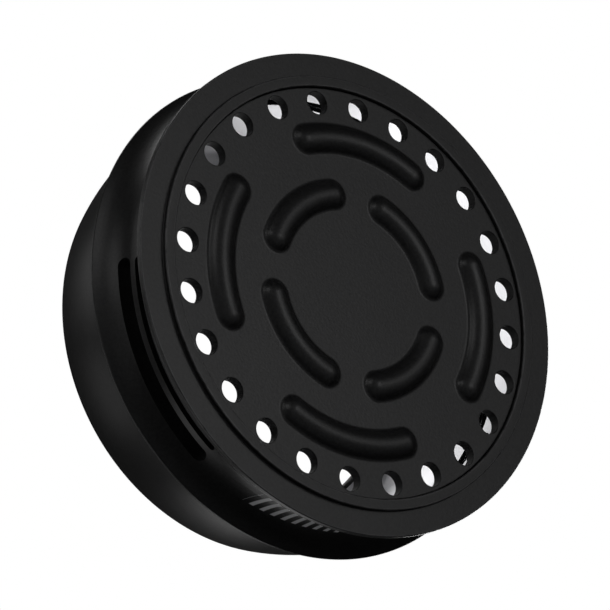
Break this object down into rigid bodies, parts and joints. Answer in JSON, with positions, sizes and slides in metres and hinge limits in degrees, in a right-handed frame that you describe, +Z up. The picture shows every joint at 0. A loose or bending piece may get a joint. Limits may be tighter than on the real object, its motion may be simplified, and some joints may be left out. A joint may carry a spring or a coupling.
{
  "type": "water-pipe charcoal holder",
  "caption": "Round open-mouthed charcoal holder for a water-pipe bowl: perforated beaded floor, waisted slotted base, turning vent ring and lift-off domed cap.",
  "frame": {"origin": "on the axis of the round body, level with the crests of the floor's beads, its lowest points", "axes": "+Z up along the body's axis, from the perforated floor to the open mouth; -Y faces the middle of one vent group"},
  "size_m": [0.0812, 0.0812, 0.0331],
  "materials": {
    "base_black": "satin",
    "floor_black": "satin",
    "cap_black": "satin",
    "bare_aluminium": "machined"
  },
  "bodies": {
    "base": {"base_shell": "base_black", "floor_plate": "floor_black"},
    "vent": {"vent_ring": "bare_aluminium"},
    "cap": {"cap_ring": "cap_black"}
  },
  "joints": [
    {"name": "vent_turn", "type": "hinge", "parent": "base", "child": "vent", "pos_m": [0, 0, 0.0088], "axis": [0, 0, 1], "continuous": true},
    {"name": "cap_lift", "type": "slide", "parent": "vent", "child": "cap", "axis": [0, 0, 1], "range_m": [0, 0.02]}
  ]
}
